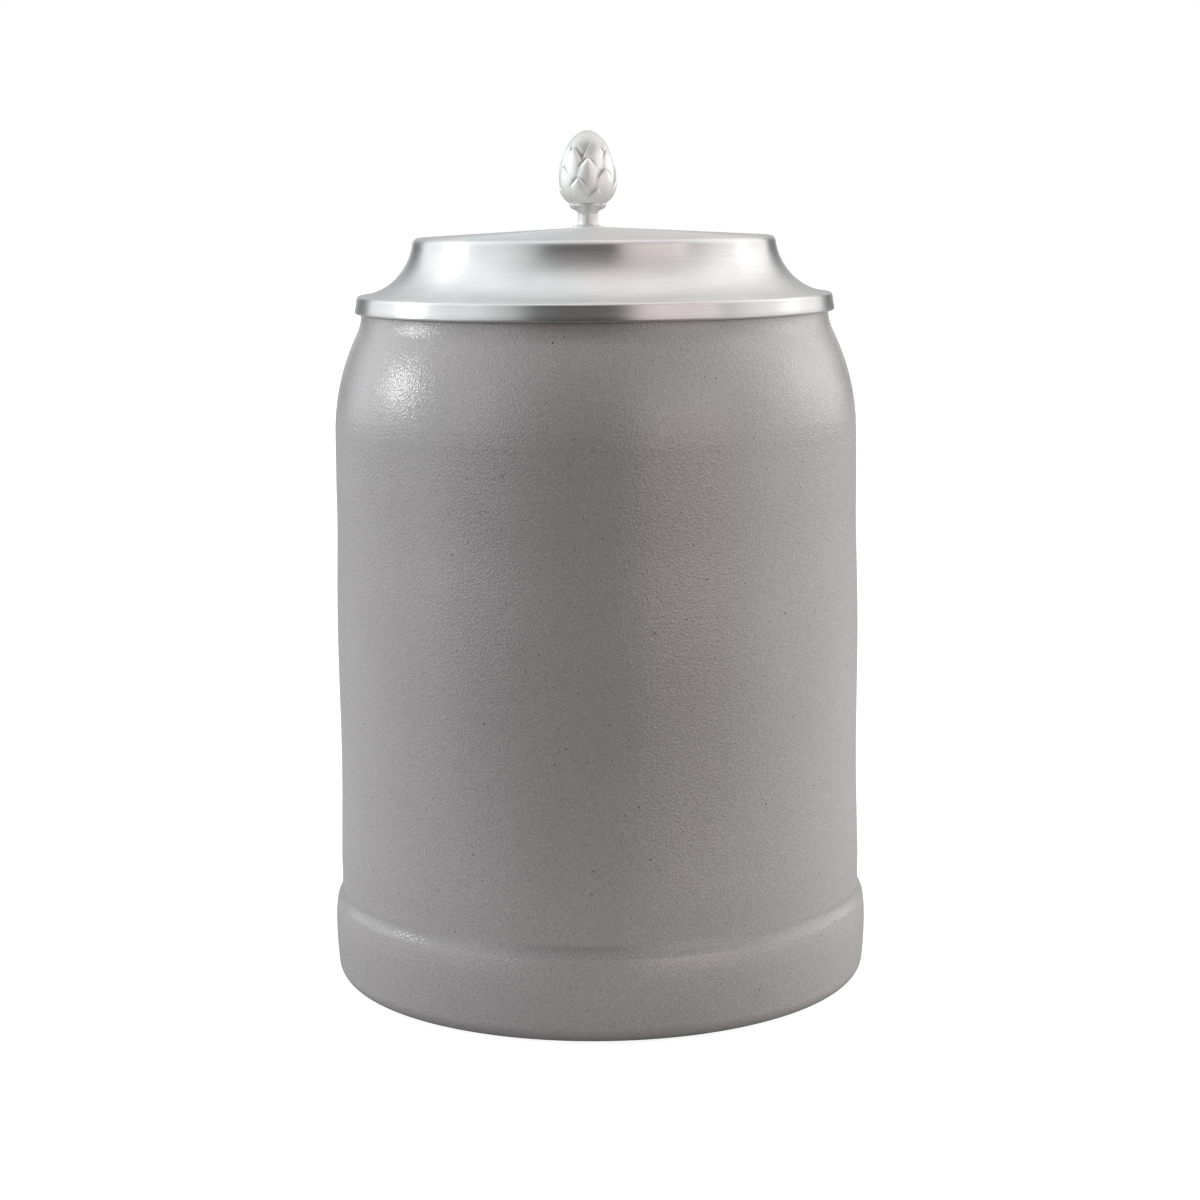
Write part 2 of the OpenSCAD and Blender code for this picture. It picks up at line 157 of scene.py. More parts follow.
# Colour of the thumb-lift: painted shade and patina in the hollows between scales, painted shade in the
# calyx's dents, and a tip and stem painted darker
HOLLOW_DEPTH, HOLLOW_ROUNDS = 0.12, 30  # depth that is fully hollow, and rounds of smoothing
TIP_DARK_FROM, TIP_DARK_FULL = 0.58, 0.82  # shares between which the cone is painted darker towards its tip
DARK_TIP, DARK_STEM, DENT_SHADE = 0.62, 0.36, 0.3  # how dark the tip and the stem are painted, and the painted shade in the calyx's dents

# Fineness of the meshes: points round a piece, and the longest step along an outline
MUG_SIDES, LID_SIDES, CAP_SIDES, STEM_SIDES = 192, 256, 64, 96
HANDLE_SIDES, STRAP_SIDES = 72, 120
CONE_RINGS, CONE_SIDES = 180, 216
BAND_SHARES = np.linspace(0.1, 1, 10)  # shares of the foot band's height that carry its swell
NEAR_ROOT, NEAR_BEND = 0.3 * ROOT_FILLET, 2 * ROOT_BLEND  # lengths from a root with closer rings
ROOT_GAP, BEND_GAP, BOW_GAP = 1, 4, 12  # points of the handle's route for each ring
OUTSIDE_STEP, INSIDE_STEP, CAP_STEP, STEM_STEP, STRAP_STEP, ROUTE_STEP = 0.9, 1.6, 0.6, 0.5, 1.2, 0.1
CAST_VOXEL, CAST_ROUNDS, CAST_WEAR = 0.2, 5, 0.5  # faces of a casting's even mesh, and its smoothing

# Glaze: noises in waves to a millimetre, and specks as scale, core, edge and strength
MOTTLE, GRAIN, PEBBLES, PEBBLE_SKIN = 0.07, 3.6, 2.5, 3.8
STONE_LOW, STONE_HIGH = (0.361, 0.343, 0.345, 1), (0.381, 0.363, 0.365, 1)
MOTTLE_RANGE = (0.2, 0.8)
GRAIN_RANGE, GRAIN_TONES = (0.28, 0.72), (0.82, 1.18)
SPECKS = ((0.26, 0.03, 0.058, 0.8), (0.45, 0.035, 0.09, 0.5), (0.75, 0.05, 0.13, 0.3))
SPECK_TONE = (0.05, 0.045, 0.04, 1)
PEBBLE_DEPTH, SKIN_SHARE = 0.064, 0.5
GLAZE_ROUGH, GLAZE_IOR = (0.12, 0.16), 1.62

# Metals: tones, noises in waves to a millimetre, and depths of the skin in millimetres
BRUSHED_LOW, BRUSHED_HIGH = (0.62, 0.611, 0.606, 1), (0.726, 0.715, 0.709, 1)
BRUSH_LINES, BRUSH_LENGTH, BRUSH_CLOUD, BRUSH_DEPTH = 7.0, 0.8, 0.12, 0.006
BRUSH_ROUGH, CLOUD_ROUGH = (0.3, 0.37), (-0.02, 0.03)
BRUSH_PULL, BRUSH_TURN = 0.9, 0.25
CAST_CLOUD, CAST_SKIN, CAST_DEPTH = 0.35, 2.6, 0.012
SMOOTHER, ROUGHER = 0.85, 1.2  # least and most of a casting's roughness
CLEAN_BLUE, AGED_BLUE = 0.985, 0.96  # share of blue in clean and in tarnished pewter
TARNISH_RANGE, TARNISH_SHARE = (0.35, 0.7), 0.6
# Painted shade and patina: the dark tone towards which a polished casting is darkened where its mesh asks for
# it
SHADE_TONE, SHADE_RANGE, SHADE_SHARE = (0.2, 0.2, 0.195, 1), (0.15, 1.0), 0.72
COAT_ROUGH = 0.16
STEEL_LOW, STEEL_HIGH = (0.48, 0.48, 0.49, 1), (0.58, 0.58, 0.59, 1)
STEEL_LINES, STEEL_ROUGH = (0.3, 6.0, 6.0), (0.25, 0.35)
MIDDLE = (0.3, 0.7)  # range that a noise mostly stays in
WHITE = (1, 1, 1, 1)

# Camera that took the photograph, as fitted to the foot, the lid's band and its crown
PHOTO_SIDE = 1200
FOCAL_PX = 2610.0
SENSOR_W = 36
CAMERA_BACK, CAMERA_HEIGHT, CAMERA_SIDE = 468.1, 141.4, 0.46
CAMERA_DOWN, CAMERA_ROLL, CAMERA_ORBIT = 8.904, 0.544, -1.4

# Floor: a pale table top, in metres, with its glow for the light and for the camera
FLOOR_FRONT, FLOOR_SIDE = -0.12, 4.0
FLOOR_TONE, FLOOR_ROUGH, FLOOR_GLOW, FLOOR_LIT = 0.26, 0.8, 0.08, 0.9

# Surroundings. Turns are degrees round from the front towards +X, and rises are degrees above the horizon.
# A zone is a centre, a half width and the width of its soft edge; a range is where a change starts and ends.
NEAR_TURNS, NEAR_LEFT_LEVEL, NEAR_RIGHT_LEVEL = (-30.0, 30.0), 0.8, 0.46
SIDE_TURNS, SIDE_LEVEL = (55.0, 100.0), 1.58
FRONT_ZONE, FRONT_DEPTH = (-11.0, 31.0, 26.0), 0.81
BELOW_ZONE, BELOW_RISES, BELOW_DEPTH = (-5.0, 66.0, 18.0), (-9.0, 0.5), 0.94
GAP_ZONE, GAP_RISES, GAP_HIGH, GAP_DEPTH = (151.0, 12.0, 6.0), (4.0, 25.0), 0.5, 0.92
BACK_ZONE, BACK_LEVEL = (180.0, 18.0, 5.0), 0.62
TOP_RISES, TOP_LEVEL = (50.0, 68.0), 1.46
COOL, COOL_TURNS = (0.96, 1.0, 1.015, 1), (-60.0, 10.0)
WARM, WARM_ZONE, WARM_RISES, WARM_HIGH = (1.0, 0.82, 0.81, 1), (20.0, 42.0, 30.0), (-4.0, 12.0), 0.35

# Soft cards in the surroundings: zone of turns, zone of rises, and the level that each adds
LEFT_CARD = ((-53.0, 16.0, 12.0), (14.0, 16.0, 10.0), 0.5)
RIGHT_CARD = ((38.0, 22.0, 8.0), (9.0, 18.0, 10.0), 1.08)

# Lamps, in metres
LAMP_AIM = 0.11  # height of the point that they face
FEATHER = (0.5, 0.28, 0.44)  # zone of full light, in shares of a lamp's side
FILL_COOL = (0.97, 0.99, 1)


# Outlines

def arc(centre, radius, start, end, steps=14):
    """Points of an arc between two angles in degrees, without its first point."""
    angles = np.radians(start + (end - start) * np.arange(1, steps + 1) / steps)
    return [(centre[0] + radius * math.cos(a), centre[1] + radius * math.sin(a)) for a in angles]


def cubic(p, steps):
    """Points of a cubic curve drawn by four handles, without its first point."""
    t = np.arange(1, steps + 1)[:, None] / steps
    p = np.array(p, float)
    points = (1 - t) ** 3 * p[0] + 3 * t * (1 - t) ** 2 * p[1] + 3 * t * t * (1 - t) * p[2] + t ** 3 * p[3]
    return [tuple(point) for point in points]


def spaced(points, step):
    """The same outline with its long stretches cut into steps."""
    out = [points[0]]
    for a, b in zip(points, points[1:]):
        count = max(1, math.ceil(math.dist(a, b) / step))
        out += [tuple(np.array(a) + (np.array(b) - np.array(a)) * i / count) for i in range(1, count + 1)]
    return out


def mug_outside():
    """Outside of the mug from the centre of its base to the top of its neck, as radius and height."""
    slope, lean = math.radians(SLOPE_TURN), math.radians(FOOT_TURN)
    gentle_in = FOOT_ROUND * (1 - math.cos(lean))
    tight_in = SLOPE_ROUND * (math.cos(lean) - math.cos(slope))
    straight_in = FOOT_STEP - gentle_in - tight_in
    bend_z = FOOT_H - straight_in / math.tan(slope) - SLOPE_ROUND * math.sin(slope)
    bend_r = FOOT_R - FOOT_ROUND + (FOOT_ROUND - SLOPE_ROUND) * math.cos(lean)
    band_z = bend_z - (FOOT_ROUND - SLOPE_ROUND) * math.sin(lean)
    neck_turn = math.degrees(math.acos(1 - NECK_IN / (SHOULDER_ROUND + NECK_ROUND)))
    shoulder_z = NECK_Z - (SHOULDER_ROUND + NECK_ROUND) * math.sin(math.radians(neck_turn))
    base_r = FOOT_R - FOOT_SWELL - BASE_ROUND
    points = [(0, 0), (base_r, 0)] + arc((base_r, BASE_ROUND), BASE_ROUND, -90, 0)
    for share in BAND_SHARES:
        points.append((FOOT_R - FOOT_SWELL * (1 - share) ** 2, BASE_ROUND + (band_z - BASE_ROUND) * share))
    points += arc((FOOT_R - FOOT_ROUND, band_z), FOOT_ROUND, 0, FOOT_TURN)
    points += arc((bend_r, bend_z), SLOPE_ROUND, FOOT_TURN, SLOPE_TURN)
    points += [(WALL_R, FOOT_H), (WALL_TOP_R, shoulder_z)]
    points += arc((WALL_TOP_R - SHOULDER_ROUND, shoulder_z), SHOULDER_ROUND, 0, neck_turn, steps=24)
    points += arc((NECK_R + NECK_ROUND, NECK_Z), NECK_ROUND, 180 + neck_turn, 180)
    return points, neck_turn, shoulder_z


def mug_inside(neck_turn, shoulder_z):
    """Lip and inside of the mug, down to the centre of its floor."""
    points = arc((NECK_R - LIP_ROUND, NECK_Z), LIP_ROUND, 0, 90)
    points.append((MOUTH_R + LIP_ROUND, BODY_H))
    points += arc((MOUTH_R + LIP_ROUND, NECK_Z), LIP_ROUND, 90, 180)
    points += arc((NECK_R + NECK_ROUND, NECK_Z), NECK_ROUND + WALL_T, 180, 180 + neck_turn)
    points += arc((WALL_TOP_R - SHOULDER_ROUND, shoulder_z), SHOULDER_ROUND - WALL_T, neck_turn, 0, steps=24)
    points.append((BORE_R, BASE_T + FLOOR_ROUND))
    points += arc((BORE_R - FLOOR_ROUND, BASE_T + FLOOR_ROUND), FLOOR_ROUND, 0, -90)
    return points + [(0, BASE_T)]


def lid_outline():
    """The lid's section, from the foot of its band over the crown and back along its underside."""
    cove = (LID_R, FLANGE_Z + COVE_R)
    edge_in = BAND_LEAN + BAND_ROUND
    edge = (LID_R - edge_in, cove[1] - math.sqrt(COVE_R ** 2 - edge_in ** 2) - BAND_ROUND)
    cove_start = 270 - math.degrees(math.asin(edge_in / COVE_R))
    lean = math.asin((COVE_R + CROWN_ROUND - LID_RISE) / (COVE_R + CROWN_ROUND))
    cove_end = 180 + math.degrees(lean)
    crown_r = LID_R - (COVE_R + CROWN_ROUND) * math.cos(lean)
    slope = math.degrees(math.atan(CROWN_RISE / crown_r))
    under_r = COVE_R + LID_T
    under_start = 180 + math.degrees(math.asin((COVE_R + LID_T - LID_RISE) / under_r))
    under_end = 180 + math.degrees(math.acos((LID_R - MOUTH_R) / under_r))
    band_in = LID_R - BAND_T
    rim_z = BAND_LOW_Z + BAND_RIM
    points = [(LID_R - BAND_RIM, BAND_LOW_Z)]
    points += arc((LID_R - BAND_RIM, rim_z), BAND_RIM, -90, 0, steps=6)
    points += [(LID_R - BAND_LEAN, edge[1])] + arc(edge, BAND_ROUND, 0, 90, steps=10)
    points += arc(cove, COVE_R, cove_start, cove_end, steps=36)
    points += arc((crown_r, CROWN_Z - CROWN_ROUND), CROWN_ROUND, math.degrees(lean), 90 - slope, steps=12)
    points += [(0, APEX_Z), (0, APEX_Z - LID_T)]
    points += arc(cove, under_r, under_start, under_start, steps=1)
    points += arc(cove, under_r, under_start, under_end, steps=30)
    points += [(MOUTH_R, SEAT_Z), (band_in, SEAT_Z), (band_in, rim_z)]
    return points + arc((band_in + BAND_RIM, rim_z), BAND_RIM, 180, 270, steps=6)


# Meshes

def lathe(outline, segments, closed=False):
    """Points and faces of an outline turned round Z; a point on the axis becomes a pole."""
    verts, rings = [], []
    for r, z in outline:
        if r < TINY:
            rings.append([len(verts)])
            verts.append((0, 0, z))
            continue
        rings.append(list(range(len(verts), len(verts) + segments)))
        angles = 2 * np.pi * np.arange(segments) / segments
        verts += [(r * math.cos(a), r * math.sin(a), z) for a in angles]
    faces = []
    pairs = list(zip(rings, rings[1:])) + ([(rings[-1], rings[0])] if closed else [])
    for low, high in pairs:
        if len(low) == 1 and len(high) == 1:
            continue
        for i in range(segments):
            j = (i + 1) % segments
            corners = [low[i % len(low)], low[j % len(low)], high[j % len(high)], high[i % len(high)]]
            faces.append(tuple(dict.fromkeys(corners)))
    return np.array(verts, float), faces


def tube(rings, capped=True):
    """Points and faces of a skin through rings of equal count, with a fan over each end."""
    rings = np.array(rings)
    count, sides = rings.shape[:2]
    verts = rings.reshape(-1, 3)
    faces = []
    for i in range(count - 1):
        for j in range(sides):
            k = (j + 1) % sides
            faces.append((i * sides + j, i * sides + k, (i + 1) * sides + k, (i + 1) * sides + j))
    if capped:
        middle = len(verts)
        verts = np.vstack([verts, rings[0].mean(0), rings[-1].mean(0)])
        last = (count - 1) * sides
        for j in range(sides):
            k = (j + 1) % sides
            faces.append((middle, k, j))
            faces.append((middle + 1, last + j, last + k))
    return verts, faces


def joined(*parts):
    """Several lists of points and faces as one."""
    verts, faces, start = [], [], 0
    for part_verts, part_faces in parts:
        verts.append(part_verts)
        faces += [tuple(i + start for i in face) for face in part_faces]
        start += len(part_verts)
    return np.vstack(verts), faces


def make_piece(name, shape, material, body, node):
    """A smooth mesh object that stands for a CAD node and rides on its body."""
    verts, faces = shape
    mesh = bpy.data.meshes.new(name)
    mesh.from_pydata((verts * MM).tolist(), [], faces)
    mesh.polygons.foreach_set("use_smooth", [True] * len(mesh.polygons))
    mesh.update()
    mesh.validate()
    mesh.materials.append(material)
    piece = bpy.data.objects.new(name, mesh)
    bpy.context.scene.collection.objects.link(piece)
    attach(piece, body)
    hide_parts(node)
    return piece


def add_attribute(piece, name, values):
    """One number for each point of a piece, for its material to read."""
    points = piece.data.attributes.new(name, "FLOAT", "POINT").data
    points.foreach_set("value", values.astype(np.float32))


def softened(node):
    """A CAD node's own shape as an even mesh in millimetres, with the worn edges of a casting."""
    mesh = frame["nodes"][node].data.copy()
    mesh.transform(Matrix.Scale(1 / MM, 4))
    blank = bpy.data.objects.new(node + "_blank", mesh)
    bpy.context.scene.collection.objects.link(blank)
    remesh = blank.modifiers.new("even", "REMESH")
    remesh.mode = "VOXEL"
    remesh.voxel_size = CAST_VOXEL
    smooth = blank.modifiers.new("worn", "SMOOTH")
    smooth.factor = CAST_WEAR
    smooth.iterations = CAST_ROUNDS
    even = blank.evaluated_get(bpy.context.evaluated_depsgraph_get()).to_mesh()
    verts = np.array([v.co for v in even.vertices], float)
    faces = [tuple(p.vertices) for p in even.polygons]
    bpy.data.objects.remove(blank)
    return verts, faces


# Shapes of the pieces

def fade(value, start, end):
    """Smooth step from 0 at start to 1 at end."""
    t = np.clip((value - start) / (end - start), 0, 1)
    return t * t * (3 - 2 * t)


def wall_wave(z):
    """How far the wall bows out at a height; the foot and the neck are turned true."""
    slow = -np.sin(2 * np.pi * (z - WAVE_START) / WAVE_LENGTH) * (1 - fade(z, WAVE_END - WAVE_FADE, WAVE_END))
    return WAVE_DEPTH * slow * fade(z, TRUE_Z, THROWN_Z)


def wall_radius(z):
    """Outer radius of the mug at a height."""
    points, _, _ = mug_outside()
    profile = np.array(points[2:])
    return np.interp(z, profile[:, 1], profile[:, 0]) + wall_wave(z)


def body_shape():
    """The mug, and how far each of its points lies in the groove over the foot, where its glaze is darkened
    as painted shade.
    """
    outside, neck_turn, shoulder_z = mug_outside()
    outside = spaced(outside, OUTSIDE_STEP)
    inside = spaced([outside[-1]] + mug_inside(neck_turn, shoulder_z), INSIDE_STEP)[1:]
    verts, faces = lathe(outside + inside, MUG_SIDES)
    x, y, z = verts.T
    r = np.hypot(x, y)
    turn = np.arctan2(y, x) / (2 * np.pi)
    outer = (np.arange(len(verts)) < 1 + (len(outside) - 1) * MUG_SIDES) & (r > BORE_R - NECK_IN)
    thrown = fade(z, TRUE_Z, THROWN_Z) * (1 - fade(z, NECK_Z - THROW_FADE, NECK_Z))
    strength = THROW_MEAN + THROW_SWING * np.sin(z / THROW_BEAT + THROW_PHASE)
    spiral = np.sin(2 * np.pi * (z / THROW_PITCH + turn)) * strength
    grow = outer * (wall_wave(z) + THROW_DEPTH * thrown * spiral)
    scale = 1 + grow / np.maximum(r, 1)
    verts[:, 0] *= scale
    verts[:, 1] *= scale
    # Where the painted shade of the groove lies, just over the foot band
    groove = fade(z, FOOT_H - GROOVE_LOW, FOOT_H - GROOVE_FULL) * (1 - fade(z, FOOT_H, FOOT_H + GROOVE_TOP))
    return (verts, faces), outer * groove


def handle_route():
    """Middle line of the handle from wall to wall, as Y and Z."""
    arm_end = HINGE_Y + STRAP_W / 2 + ARM_MARGIN
    bow_y = BOW_OUT - (HANDLE_T + HANDLE_LOW_T) / 4
    bow_z = ARM_Z - HANDLE_BOW
    root_y = BORE_R - HANDLE_LOW_T
    route = [(wall_radius(ARM_Z) - ROOT_SINK, ARM_Z), (arm_end, ARM_Z)]
    route += cubic([(arm_end, ARM_Z), (arm_end + BEND_TOP * (bow_y - arm_end), ARM_Z),
                    (bow_y, bow_z + BEND_TOP * (ARM_Z - bow_z)), (bow_y, bow_z)], steps=60)
    low = cubic([(bow_y, bow_z), (bow_y, bow_z - BEND_LOW * (bow_z - HANDLE_LOW_Z)),
                 (root_y + BEND_LOW * (bow_y - root_y), HANDLE_LOW_Z + ROOT_FALL),
                 (root_y, HANDLE_LOW_Z)], steps=120)
    route += [point for point in low if point[0] > wall_radius(point[1]) - ROOT_SINK]
    return np.array(spaced(route, ROUTE_STEP)), arm_end


def oval(half_w, half_t, sides):
    """Squarish oval section, as offsets across and through the handle."""
    a = 2 * np.pi * np.arange(sides) / sides
    power = 2 / HANDLE_SQUARE
    across = half_w * np.sign(np.cos(a)) * np.abs(np.cos(a)) ** power
    through = half_t * np.sign(np.sin(a)) * np.abs(np.sin(a)) ** power
    return across, through


def ring_gap(near):
    """How many points of the handle's route make one ring; rings are closest together at the roots."""
    if near < NEAR_ROOT:
        return ROOT_GAP
    return BEND_GAP if near < NEAR_BEND else BOW_GAP


def handle_shape():
    """The handle's skin, thinner towards its lower root; both roots spread and take the wall's shape."""
    route, arm_end = handle_route()
    steps = np.hypot(*np.diff(route, axis=0).T)
    length = np.concatenate([[0], np.cumsum(steps)])
    along = np.gradient(route, axis=0)
    along /= np.hypot(along[:, 0], along[:, 1])[:, None]
    arm_length = arm_end - route[0, 0]
    rings = []
    for i, (y, z) in enumerate(route):
        near = min(length[i], length[-1] - length[i])
        if i % ring_gap(near) and near > 0:
            continue
        share = max(0.0, (length[i] - arm_length) / (length[-1] - arm_length))
        bare = max(0.0, ROOT_FILLET - near)
        flare = ROOT_FILLET - math.sqrt(ROOT_FILLET ** 2 - bare ** 2)
        half_w = (HANDLE_W + (HANDLE_LOW_W - HANDLE_W) * share) / 2 + flare
        half_t = (HANDLE_T + (HANDLE_LOW_T - HANDLE_T) * share) / 2 + flare
        across, through = oval(half_w, half_t, HANDLE_SIDES)
        ring_y = y + through * along[i, 1]
        ring_z = z - through * along[i, 0]
        wall_y = np.sqrt(wall_radius(ring_z) ** 2 - across ** 2) - ROOT_SINK + near
        to_wall = 1 - fade(near, 0, ROOT_BLEND)
        rings.append(np.stack([across, ring_y + (wall_y - ring_y) * to_wall, ring_z], -1))
    inward = np.array((0, -ROOT_TENON, 0))
    return tube([rings[0] + inward] + rings + [rings[-1] + inward])


def strap_shape():
    """A band round the handle's arm with rounded edges."""
    half = STRAP_W / 2
    flat = STRAP_T - STRAP_EDGE
    section = [(flat, -half)] + arc((flat, -half + STRAP_EDGE), STRAP_EDGE, -90, 0, steps=5)
    section += arc((flat, half - STRAP_EDGE), STRAP_EDGE, 0, 90, steps=5)
    section += [(0, half), (0, -half)]
    section = spaced(section + [section[0]], STRAP_STEP)[:-1]
    rings = []
    for grow, side in section:
        across, through = oval(HANDLE_W / 2 + STRAP_GAP + grow, HANDLE_T / 2 + STRAP_GAP + grow, STRAP_SIDES)
        rings.append(np.stack([across, np.full(len(across), HINGE_Y + side), ARM_Z + through], -1))
    return tube(rings + rings[:1], capped=False)


def caps_shape():
    """Two shallow domes over the ends of the hinge."""
    shank_low, shank_high = box_mm("hinge_shank")
    ball = (RING_R ** 2 + CAP_H ** 2) / (2 * CAP_H)
    edge = 90 - math.degrees(math.asin(RING_R / ball))
    outline = [(0, 0), (RING_R, 0)] + arc((0, CAP_H - ball), ball, edge, 90, steps=10)[:-1] + [(0, CAP_H)]
    verts, faces = lathe(spaced(outline, CAP_STEP), CAP_SIDES)
    sides = []
    for end, sign in ((shank_high[0], 1), (shank_low[0], -1)):
        turned = np.stack([end + sign * verts[:, 2], HINGE_Y + verts[:, 0], HINGE_Z + sign * verts[:, 1]], -1)
        sides.append((turned, faces))
    return joined(*sides)


def stem_outline():
    """Turned pedestal, stem and calyx of the thumb-lift, from the tongue up."""
    waist_z, flare_z = (PED_FOOT_H + PED_H) / 2, PED_H + FLARE_H
    cup_z = flare_z + STEM_H
    rim_z, bend = cup_z + CALYX_H, CALYX_H / 3
    foot_r = PED_R - PED_EDGE
    points = [(0, 0), (foot_r, 0)] + arc((foot_r, PED_EDGE), PED_EDGE, -90, 0, steps=4)
    points += arc((foot_r, PED_FOOT_H - PED_EDGE), PED_EDGE, 0, 90, steps=4)
    points += cubic([(foot_r, PED_FOOT_H), (WAIST_R, PED_FOOT_H), (WAIST_R, PED_FOOT_H),
                     (WAIST_R, waist_z)], steps=14)
    points += cubic([(WAIST_R, waist_z), (WAIST_R, PED_H), (COLLAR_R, waist_z), (COLLAR_R, PED_H)], steps=14)
    points += cubic([(COLLAR_R, PED_H), (STEM_R + FLARE_OUT, PED_H + FLARE_LOW),
                     (STEM_R, PED_H + FLARE_HIGH), (STEM_R, flare_z)], steps=16)
    points.append((STEM_R, cup_z))
    points += cubic([(STEM_R, cup_z), (STEM_R, rim_z - bend),
                     (CALYX_R, cup_z + bend), (CALYX_R, rim_z)], steps=16)
    points += [(CALYX_R - CALYX_LIP, rim_z + CALYX_DOME), (0, rim_z)]
    return spaced(points, STEM_STEP), cup_z, rim_z


def egg(t):
    """Radius of the smooth egg that holds the cone, at a share of its height."""
    return CONE_R * np.sin(np.pi * t ** EGG_BELLY) ** EGG_FULL


def scale_depth(t, turn):
    """Depth of the spiralling scales below the egg, at shares of its height and degrees from its front."""
    depth = np.full(np.broadcast(t, turn).shape, SCALE_LIFT)
    for scale in range(SCALES):
        s = (t - FIRST_TIP - scale * TIP_STEP) / SCALE_LENGTH + 1
        off = np.abs((turn - (scale - FRONT_SCALE) * SCALE_TURN + 180) % 360 - 180)
        inside = (s >= 0) & (s <= 1)
        reach = np.where(inside, SCALE_HALF * np.maximum(0, 1 - s * s) ** SCALE_POINT, 0)
        share = off / np.maximum(reach, TINY)
        own = SCALE_LIFT * (1 - s) + SCALE_BULGE * share ** 2
        lip = SCALE_LIP * np.exp(-((1 - share) / LIP_SHARE) ** 2)
        own -= lip + SCALE_RIB * np.exp(-(share / RIB_SHARE) ** 2)
        depth = np.where(inside & (off < reach), np.minimum(depth, own), depth)
    low = LOW_RELIEF + (1 - LOW_RELIEF) * fade(t, 0, CLOSED_LOW)
    return depth * low * (1 - TOP_CLOSING * fade(t, CLOSED_TOP, CLOSED_FULL))


def hollows(depth):
    """How far each point of the cone lies below its surroundings, from 0 to 1."""
    even = depth
    for _ in range(HOLLOW_ROUNDS):
        even = (even + np.roll(even, 1, 1) + np.roll(even, -1, 1)) / 3
        tall = np.pad(even, ((1, 1), (0, 0)), mode="edge")
        even = (tall[:-2] + tall[1:-1] + tall[2:]) / 3
    return np.clip((depth - even) / HOLLOW_DEPTH, 0, 1)


def stem_shape():
    """The turned stem with its scalloped calyx, how dark each point is painted, with painted shade in the
    dents, and the height of its rim.
    """
    outline, cup_z, rim_z = stem_outline()
    verts, faces = lathe(outline, STEM_SIDES)
    r = np.hypot(verts[:, 0], verts[:, 1])
    lobe = np.abs(np.sin(CALYX_LOBES / 2 * np.arctan2(verts[:, 1], verts[:, 0])))
    cup = fade(verts[:, 2], cup_z + CALYX_START, rim_z) * (r > CALYX_R / 2)
    dent = CALYX_DENT * cup * (1 - lobe)
    verts[:, :2] *= 1 - (dent / np.maximum(r, 1))[:, None]
    verts[:, 2] -= CALYX_DIP * dent
    # The stem is painted darker all over, and painted shade darkens the calyx's dents further
    return (verts, faces), DARK_STEM + DENT_SHADE * dent / CALYX_DENT, rim_z


def thumb_shape():
    """The cone of scales in its calyx on the stem, and how dark each point is painted: painted shade and
    patina in the hollows, and darker towards the tip.
    """
    stem, stem_shade, rim_z = stem_shape()
    shares = np.linspace(CONE_FROM, CONE_TO, CONE_RINGS)
    turns = np.linspace(0, 360, CONE_SIDES, endpoint=False)
    t, turn = np.meshgrid(shares, turns, indexing="ij")
    depth = scale_depth(t, turn)
    r = egg(t) - depth * np.minimum(1, 2 * egg(t) / CONE_R)
    a = np.radians(turn)
    cone_z = rim_z - CONE_SEAT + t * CONE_H
    cone = tube(np.stack([r * np.sin(a), -r * np.cos(a), cone_z], -1))
    # Painted shade and patina in the hollows between scales, and a tip painted darker
    cone_shade = np.maximum(hollows(depth), DARK_TIP * fade(t, TIP_DARK_FROM, TIP_DARK_FULL))
    ends_shade = [1, DARK_TIP]
    verts, faces = joined(stem, cone)
    return (verts + (0, THUMB_Y, THUMB_Z), faces), np.concatenate([stem_shade, cone_shade.ravel(), ends_shade])


# Materials

def fill(tree, made, inputs):
    """Sets a shader node's inputs to numbers, or links them to other sockets."""
    for key, value in inputs.items():
        if isinstance(value, bpy.types.NodeSocket):
            tree.links.new(value, made.inputs[key])
        else:
            made.inputs[key].default_value = value


def add_node(tree, kind, inputs=None, **settings):
    """A shader node with its settings and inputs."""
    made = tree.nodes.new(kind)
    for key, value in settings.items():
        setattr(made, key, value)
    fill(tree, made, inputs or {})
    return made


def maths(tree, operation, a, b=0.0):
    """The result of an operation on one or two values."""
    return add_node(tree, "ShaderNodeMath", {0: a, 1: b}, operation=operation).outputs[0]


def times(tree, a, b):
    """The product of two values."""
    return maths(tree, "MULTIPLY", a, b)


def ranged(tree, value, low, high, to_low, to_high):
    """A value carried from one range to another and held there."""
    inputs = {"Value": value, "From Min": low, "From Max": high, "To Min": to_low, "To Max": to_high}
    return add_node(tree, "ShaderNodeMapRange", inputs).outputs["Result"]


def noise(tree, vector, scale, detail=2.0):
    """A smooth noise, about 0 to 1, with a scale in waves to a millimetre."""
    inputs = {"Vector": vector, "Scale": scale, "Detail": detail}
    return add_node(tree, "ShaderNodeTexNoise", inputs).outputs["Fac"]


def mixed(tree, share, a, b, blend="MIX"):
    """One colour blended with another by a share."""
    made = add_node(tree, "ShaderNodeMix", data_type="RGBA", blend_type=blend)
    fill(tree, made, {0: share, 6: a, 7: b})
    return made.outputs[2]


def attribute(tree, name):
    """The number that a mesh holds for each of its points, and 0 where it holds none."""
    return add_node(tree, "ShaderNodeAttribute", attribute_name=name).outputs["Fac"]


def new_material(name):
    """An empty material with its shader, and the place on the object in millimetres."""
    material = bpy.data.materials.new(name)
    material.use_nodes = True
    tree = material.node_tree
    shader = tree.nodes["Principled BSDF"]
    place = add_node(tree, "ShaderNodeTexCoord").outputs["Object"]
    scaled = add_node(tree, "ShaderNodeVectorMath", {0: place, "Scale": 1 / MM}, operation="SCALE").outputs[0]
    return material, tree, shader, scaled


def bump(tree, height, depth):
    """A bump whose height of 1 is a depth in millimetres."""
    inputs = {"Height": height, "Distance": depth * MM, "Strength": 1.0}
    return add_node(tree, "ShaderNodeBump", inputs).outputs["Normal"]


